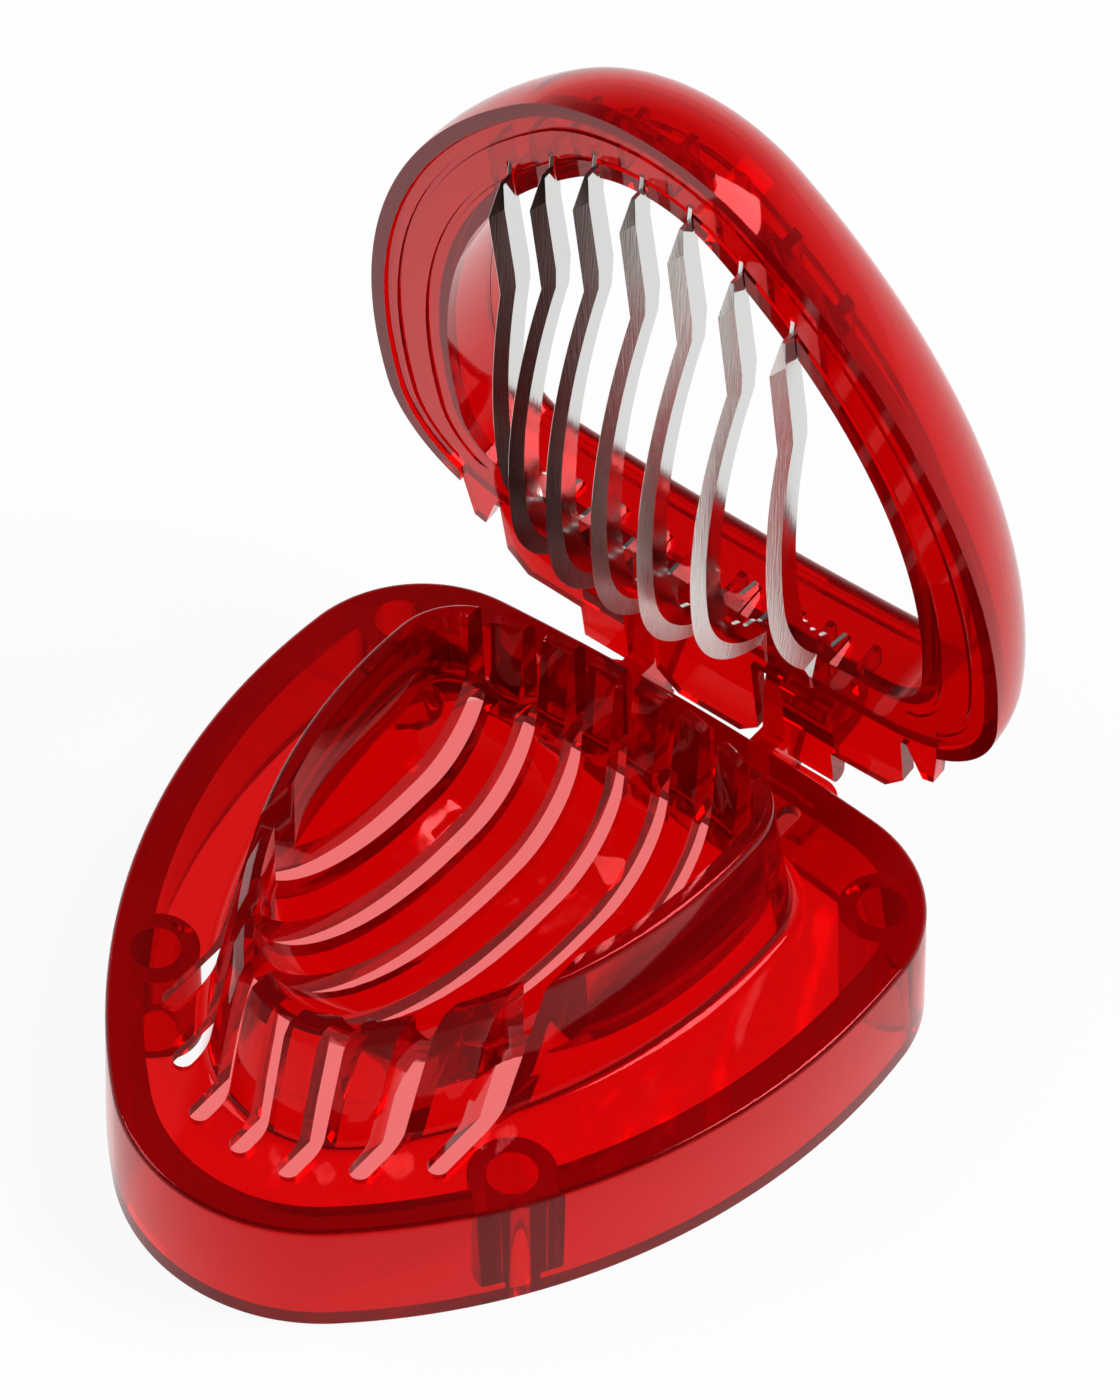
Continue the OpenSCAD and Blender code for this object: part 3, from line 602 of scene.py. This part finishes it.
def blade_seats(thickness):
    """Cutters for the slots in the frame that hold the blades' heads and feet."""
    room, before, head_l, head_h, foot_l, foot_h, behind = 0.12, 1.12, 14, 2.0, 9, 5.1, 0.4
    seats = []
    for k in range(-3, 4):
        half, tip = thickness / 2 + room, SLOT_FRONT[abs(k)] + before
        for first, last, height in ((-tip, head_l - tip, head_h),
                                    (BLADE_FOOT_Y - foot_l, BLADE_FOOT_Y + behind, foot_h)):
            seats.append(prism("seat", box_points(k * PITCH, half, first, last), height,
                               at_level(PLATE_Z)))
    return seats


def frame_ring(thickness):
    """The blade frame for the closed lid: a plate with an inner wall, grooves, ribs, a flange
    with two hinge ears, and slots for the ends of blades with this thickness."""
    low, high, top = LID_Z + 0.4, LID_Z + 2.6, SEAM_Z - 0.12
    edge = LID_OVER - COVER_T - 0.24
    rows = []
    for line, out in stations(BASE_LINE):
        section = frame_section(LID_OVER - ring_width(out), edge, low, high, top)
        rows.append([spot(line + out * x, z) for x, z in section])
    ears, bores = hinge_ears(low)
    adds = [frame_flange(low)] + ears + frame_ribs(edge, high)
    ring = combined(skin("frame", rows, True), adds, "UNION")
    return combined(ring, bores + blade_seats(thickness), "DIFFERENCE")


def blade_lines(k):
    """A blade's cutting line and back line, as pairs of y and height over the plate. Both have
    as many points: a hooked head, the sweep down to the belly, the rise and a tabbed foot."""
    depth, kink, rise = BLADE_DEPTH[abs(k)], BLADE_KINK[abs(k)], BLADE_RISE[abs(k)]
    front, head, foot = SLOT_FRONT[abs(k)] - 1, BLADE_HEAD, BLADE_FOOT_Y
    hook_l, hook_t, kink_w, rise_low, foot_low = 2, 0.7, 1.5, 3, 2.4
    tab_w, tab_h, steps = 3.4, 3, 40
    run, drop = BLADE_BELLY_Y + kink, depth - BLADE_FRONT
    sweep = (run ** 2 + drop ** 2) / (2 * drop)
    kink_turn, rise_turn = math.asin(run / sweep), math.acos(1 - (depth - rise_low) / rise)
    low, y = -math.pi / 2, BLADE_BELLY_Y
    rise_y = y + rise * math.sin(rise_turn)
    cutting = ([(-front - hook_l, head - hook_t), (-front, 0.4), (-front, -1),
                (-front + 3.4, -BLADE_FRONT), (-kink - kink_w, -BLADE_FRONT)]
               + circle_points(y, sweep - depth, sweep, low - kink_turn, low, steps)
               + circle_points(y, rise - depth, rise, low, low + rise_turn, steps)[1:]
               + [(max(rise_y + 0.5, foot - 3), -foot_low), (foot - 0.8, -foot_low),
                  (foot, -foot_low + 1)])
    back = ([(-front - hook_l, head), (-front, head), (-front + 1.6, head),
             (-front + 4.6, head - 0.4), (-kink - kink_w, head - 0.2)]
            + circle_points(y, sweep - depth, sweep - BLADE_W, low - kink_turn, low, steps)
            + circle_points(y, rise - depth, rise - BLADE_W, low, low + rise_turn, steps)[1:]
            + [(foot - tab_w - 1, head), (foot - tab_w, head + tab_h), (foot, head + tab_h)])
    # The back edge is nibbled out in shallow waves where it rises to the hinge.
    first, last, points, deep = 58, 85, 9, 0.05
    for i in range(first, last):
        inwards = Vector(cutting[i]) - Vector(back[i])
        share = deep * (1 - math.cos((i - first) * 2 * math.pi / points))
        back[i] = tuple(Vector(back[i]) + inwards * share)
    return cutting, back


def blade_strip(k, thickness, bevel):
    """One blade for the closed lid: a strip with its right side ground to a bevel."""
    ends, unground, edge_t, corners = 3, 0.02, 0.04, 5
    left, right = k * PITCH - thickness / 2, k * PITCH + thickness / 2
    cutting, back = blade_lines(k)
    points = []
    for i, (low, high) in enumerate(zip(cutting, back)):
        low, high = Vector(low), Vector(high)
        ground = bevel if ends <= i < len(cutting) - ends else unground
        line = low + (high - low).normalized() * ground
        points.extend(spot(Vector((x, p.x)), PLATE_Z + p.y)
                      for x, p in ((left, low), (left + edge_t, low), (right, line),
                                   (right, high), (left, high)))
    faces = [(i + j, i + (j + 1) % corners, i + corners + (j + 1) % corners, i + corners + j)
             for i in range(0, len(points) - corners, corners) for j in range(corners)]
    sides = len(faces)
    faces += [range(corners), range(len(points) - 1, len(points) - corners - 1, -1)]
    mesh = bpy.data.meshes.new("strip")
    mesh.from_pydata(points, [], faces)
    for i, face in enumerate(mesh.polygons):
        face.material_index = int(i < sides and i % corners == 1)
    face_outwards(mesh)
    opened(mesh)
    return mesh


def worktop():
    """The worktop, a hair below the slicer's foot."""
    shape = bmesh.new()
    bmesh.ops.create_grid(shape, x_segments=1, y_segments=1, size=WORKTOP_HALF)
    mesh = bpy.data.meshes.new("worktop")
    shape.to_mesh(mesh)
    shape.free()
    mesh.materials.append(white_worktop("laminate_matt_white"))
    floor = bpy.data.objects.new("worktop", mesh)
    floor.location = (0, 0, -0.2 * MM)
    bpy.context.scene.collection.objects.link(floor)


def white_studio():
    """A world that is white to the eye. The studio's walls are white and its ceiling is dim, so
    level surfaces stay deep red."""
    world = bpy.data.worlds.new("soft_white")
    world.use_nodes = True
    tree = world.node_tree
    tree.nodes.clear()
    path = add(tree, "ShaderNodeLightPath")
    ray = add(tree, "ShaderNodeTexCoord").outputs["Generated"]
    height = add(tree, "ShaderNodeSeparateXYZ", {"Vector": ray}).outputs["Z"]
    ceiling = add(tree, "ShaderNodeMapRange", {
        "Value": height, "From Min": 0.1, "From Max": 0.6, "To Min": 0.9, "To Max": 0.12})
    strength = add(tree, "ShaderNodeMix", {
        "Factor": path.outputs["Is Camera Ray"], 2: ceiling.outputs["Result"], 3: 1.0},
        data_type="FLOAT")
    sky = add(tree, "ShaderNodeBackground", {"Strength": strength.outputs[0]})
    add(tree, "ShaderNodeOutputWorld", {"Surface": sky.outputs["Background"]})
    return world


def softbox(name, place, side, power):
    """A square area lamp that shines at the slicer."""
    lamp = bpy.data.lights.new(name, "AREA")
    lamp.shape = "SQUARE"
    lamp.size = side
    lamp.energy = power
    holder = bpy.data.objects.new(name, lamp)
    holder.location = place
    beam = Vector(LAMP_TARGET) - Vector(place)
    holder.rotation_euler = beam.to_track_quat("-Z", "Y").to_euler()
    bpy.context.scene.collection.objects.link(holder)


def studio_camera(view):
    """The camera, turned by the view's azimuth, elevation and roll."""
    away = Vector((math.sin(view.azimuth) * math.cos(view.elevation),
                   -math.cos(view.azimuth) * math.cos(view.elevation),
                   math.sin(view.elevation)))
    right = Vector((math.cos(view.azimuth), math.sin(view.azimuth), 0))
    up = right.cross(-away)
    across = right * math.cos(view.roll) + up * math.sin(view.roll)
    upright = up * math.cos(view.roll) - right * math.sin(view.roll)
    turned = Matrix((across, upright, away)).transposed().to_4x4()
    camera = bpy.data.objects.new("camera", bpy.data.cameras.new("camera"))
    camera.matrix_world = Matrix.Translation(view.place) @ turned
    camera.data.sensor_fit = "VERTICAL"
    camera.data.sensor_height = SENSOR
    camera.data.lens = view.lens
    camera.data.shift_x, camera.data.shift_y = CAMERA_SHIFT
    camera.data.clip_start, camera.data.clip_end = CAMERA_CLIP
    bpy.context.scene.collection.objects.link(camera)
    return camera


class SlicerSizes(bpy.types.PropertyGroup):
    boss: FloatProperty(
        name="Boss radius", description="Radius of the base's four round bosses",
        default=5.2 * MM, min=0.0, unit="LENGTH")
    boss_bore: FloatProperty(
        name="Boss bore", description="Radius of the bores in the bosses",
        default=3.0 * MM, min=0.0, unit="LENGTH")
    blade: FloatProperty(
        name="Blade thickness", description="Thickness of the blades' strip steel",
        default=0.5 * MM, min=0.0, unit="LENGTH")
    bevel: FloatProperty(
        name="Bevel width", description="Width of the bevel that is ground along each blade",
        default=2.3 * MM, min=0.0, unit="LENGTH")


class SlicerColours(bpy.types.PropertyGroup):
    base_tint: StringProperty(
        name="Base tint", description="Colour that the base's clear plastic lets through",
        default="#FB0008")
    lid_tint: StringProperty(
        name="Lid tint", description="Colour that the lid's clear plastic lets through",
        default="#FB0008")
    density: FloatProperty(
        name="Tint density", description="How strongly the plastic takes light away, per metre",
        default=2200.0, min=0.0)
    steel: StringProperty(
        name="Steel", description="Colour of the blades' steel", default="#D8D8D6")
    bevel: StringProperty(
        name="Bevel", description="Colour of the blades' ground bevels", default="#E2E0DC")
    # Colour of the painted dark reflection on the left blades' bevels, which fades into the bevel
    # colour towards the right.
    painted_reflection: StringProperty(
        name="Painted reflection", description="Colour of the bevels under their dark film", default="#4C3834")


class SlicerView(bpy.types.PropertyGroup):
    place: FloatVectorProperty(
        name="Camera place", description="Where the camera stands",
        default=(0.3377, -0.4290, 0.6840), subtype="TRANSLATION", unit="LENGTH")
    azimuth: FloatProperty(
        name="Azimuth", description="How far the camera stands round to the right",
        default=math.radians(37.618), subtype="ANGLE", unit="ROTATION")
    elevation: FloatProperty(
        name="Elevation", description="How steeply the camera looks down",
        default=math.radians(49.021), subtype="ANGLE", unit="ROTATION")
    roll: FloatProperty(
        name="Roll", description="How far the camera is turned about its line of sight",
        default=math.radians(0.645), subtype="ANGLE", unit="ROTATION")
    lens: FloatProperty(
        name="Lens", description="Focal length for a sensor 36 mm high", default=190.54)


class OBJECT_OT_slicer_base(bpy.types.Operator):
    """Dress the base: outer wall, plate, slotted cup and hinge lugs"""
    bl_idname = "object.slicer_base"
    bl_label = "Base"

    def execute(self, context):
        look, size = context.scene.slicer_colours, context.scene.slicer_sizes
        plastic = moulded_plastic("polystyrene_clear_red_moulded_base", look.density,
                                  look.base_tint, GLOSS_ROUGHNESS)
        bosses = round_bosses(size.boss / MM, BOSS_LOW, BOSS_TOP, 64)
        bores = round_bosses(size.boss_bore / MM, -BOSS_LOW, PLATE_Z - PLATE_T, 48)
        shell = combined(base_shell(), bosses, "UNION")
        shell = combined(shell, hinge_lugs(), "UNION")
        shell = combined(shell, slot_cutters(), "DIFFERENCE")
        shell = combined(shell, bores, "DIFFERENCE")
        placed_piece("slotted_base", shell, [plastic], "base")
        return {"FINISHED"}


class OBJECT_OT_slicer_lid(bpy.types.Operator):
    """Dress the lid: the domed cover and the frame that holds the blades"""
    bl_idname = "object.slicer_lid"
    bl_label = "Lid"

    def execute(self, context):
        look, size = context.scene.slicer_colours, context.scene.slicer_sizes
        plastic = moulded_plastic("polystyrene_clear_red_moulded_lid", look.density,
                                  look.lid_tint, GLOSS_ROUGHNESS)
        cover = cover_shell()
        opened(cover)
        placed_piece("domed_cover", cover, [plastic], "lid_cover")
        ring = frame_ring(size.blade / MM)
        opened(ring)
        placed_piece("blade_frame_ring", ring, [plastic], "blade_frame")
        return {"FINISHED"}


class OBJECT_OT_slicer_blades(bpy.types.Operator):
    """Dress the seven bowed steel blades"""
    bl_idname = "object.slicer_blades"
    bl_label = "Blades"

    def execute(self, context):
        look, size = context.scene.slicer_colours, context.scene.slicer_sizes
        rolled = stainless_steel("stainless_steel_rolled", 0.1, look.steel, 0.4 * MM, 0.4, 0.1)
        # The ground bevels carry the painted dark reflection across the set of blades.
        ground = stainless_steel("stainless_steel_ground_bevel", 0.3, look.bevel, 0.2 * MM, 0.7,
                                 0.7, look.painted_reflection)
        for number, node in enumerate(BLADES):
            strip = blade_strip(number - 3, size.blade / MM, size.bevel / MM)
            placed_piece(node + "_strip", strip, [rolled, ground], node, BLADE_CREASE)
        return {"FINISHED"}


class OBJECT_OT_slicer_stage(bpy.types.Operator):
    """Set the worktop, the lamps, the world and the camera"""
    bl_idname = "object.slicer_stage"
    bl_label = "Stage"

    def execute(self, context):
        scene = context.scene
        worktop()
        scene.world = white_studio()
        for name, place, side, power in SOFTBOXES:
            softbox(name, place, side, power)
        scene.camera = studio_camera(scene.slicer_view)
        scene.view_settings.view_transform = "Standard"
        return {"FINISHED"}


class VIEW3D_PT_slicer(bpy.types.Panel):
    """Lists the slicer's pieces with their sizes and colours"""
    bl_idname = "VIEW3D_PT_slicer"
    bl_label = "Fruit Slicer"
    bl_space_type = "VIEW_3D"
    bl_region_type = "UI"
    bl_category = "Fruit Slicer"

    def draw(self, context):
        scene = context.scene
        for group in (scene.slicer_sizes, scene.slicer_colours, scene.slicer_view):
            for name in group.__annotations__:
                self.layout.prop(group, name)
        for step in STEPS:
            self.layout.operator(step.bl_idname)


STEPS = (OBJECT_OT_slicer_base, OBJECT_OT_slicer_lid, OBJECT_OT_slicer_blades,
         OBJECT_OT_slicer_stage)
CLASSES = (SlicerSizes, SlicerColours, SlicerView) + STEPS + (VIEW3D_PT_slicer,)


def register():
    for item in CLASSES:
        bpy.utils.register_class(item)
    bpy.types.Scene.slicer_sizes = PointerProperty(type=SlicerSizes)
    bpy.types.Scene.slicer_colours = PointerProperty(type=SlicerColours)
    bpy.types.Scene.slicer_view = PointerProperty(type=SlicerView)


def unregister():
    del bpy.types.Scene.slicer_view
    del bpy.types.Scene.slicer_colours
    del bpy.types.Scene.slicer_sizes
    for item in reversed(CLASSES):
        bpy.utils.unregister_class(item)


def main():
    register()
    for step in STEPS:
        group, call = step.bl_idname.split(".")
        getattr(getattr(bpy.ops, group), call)()


if __name__ == "__main__":
    main()
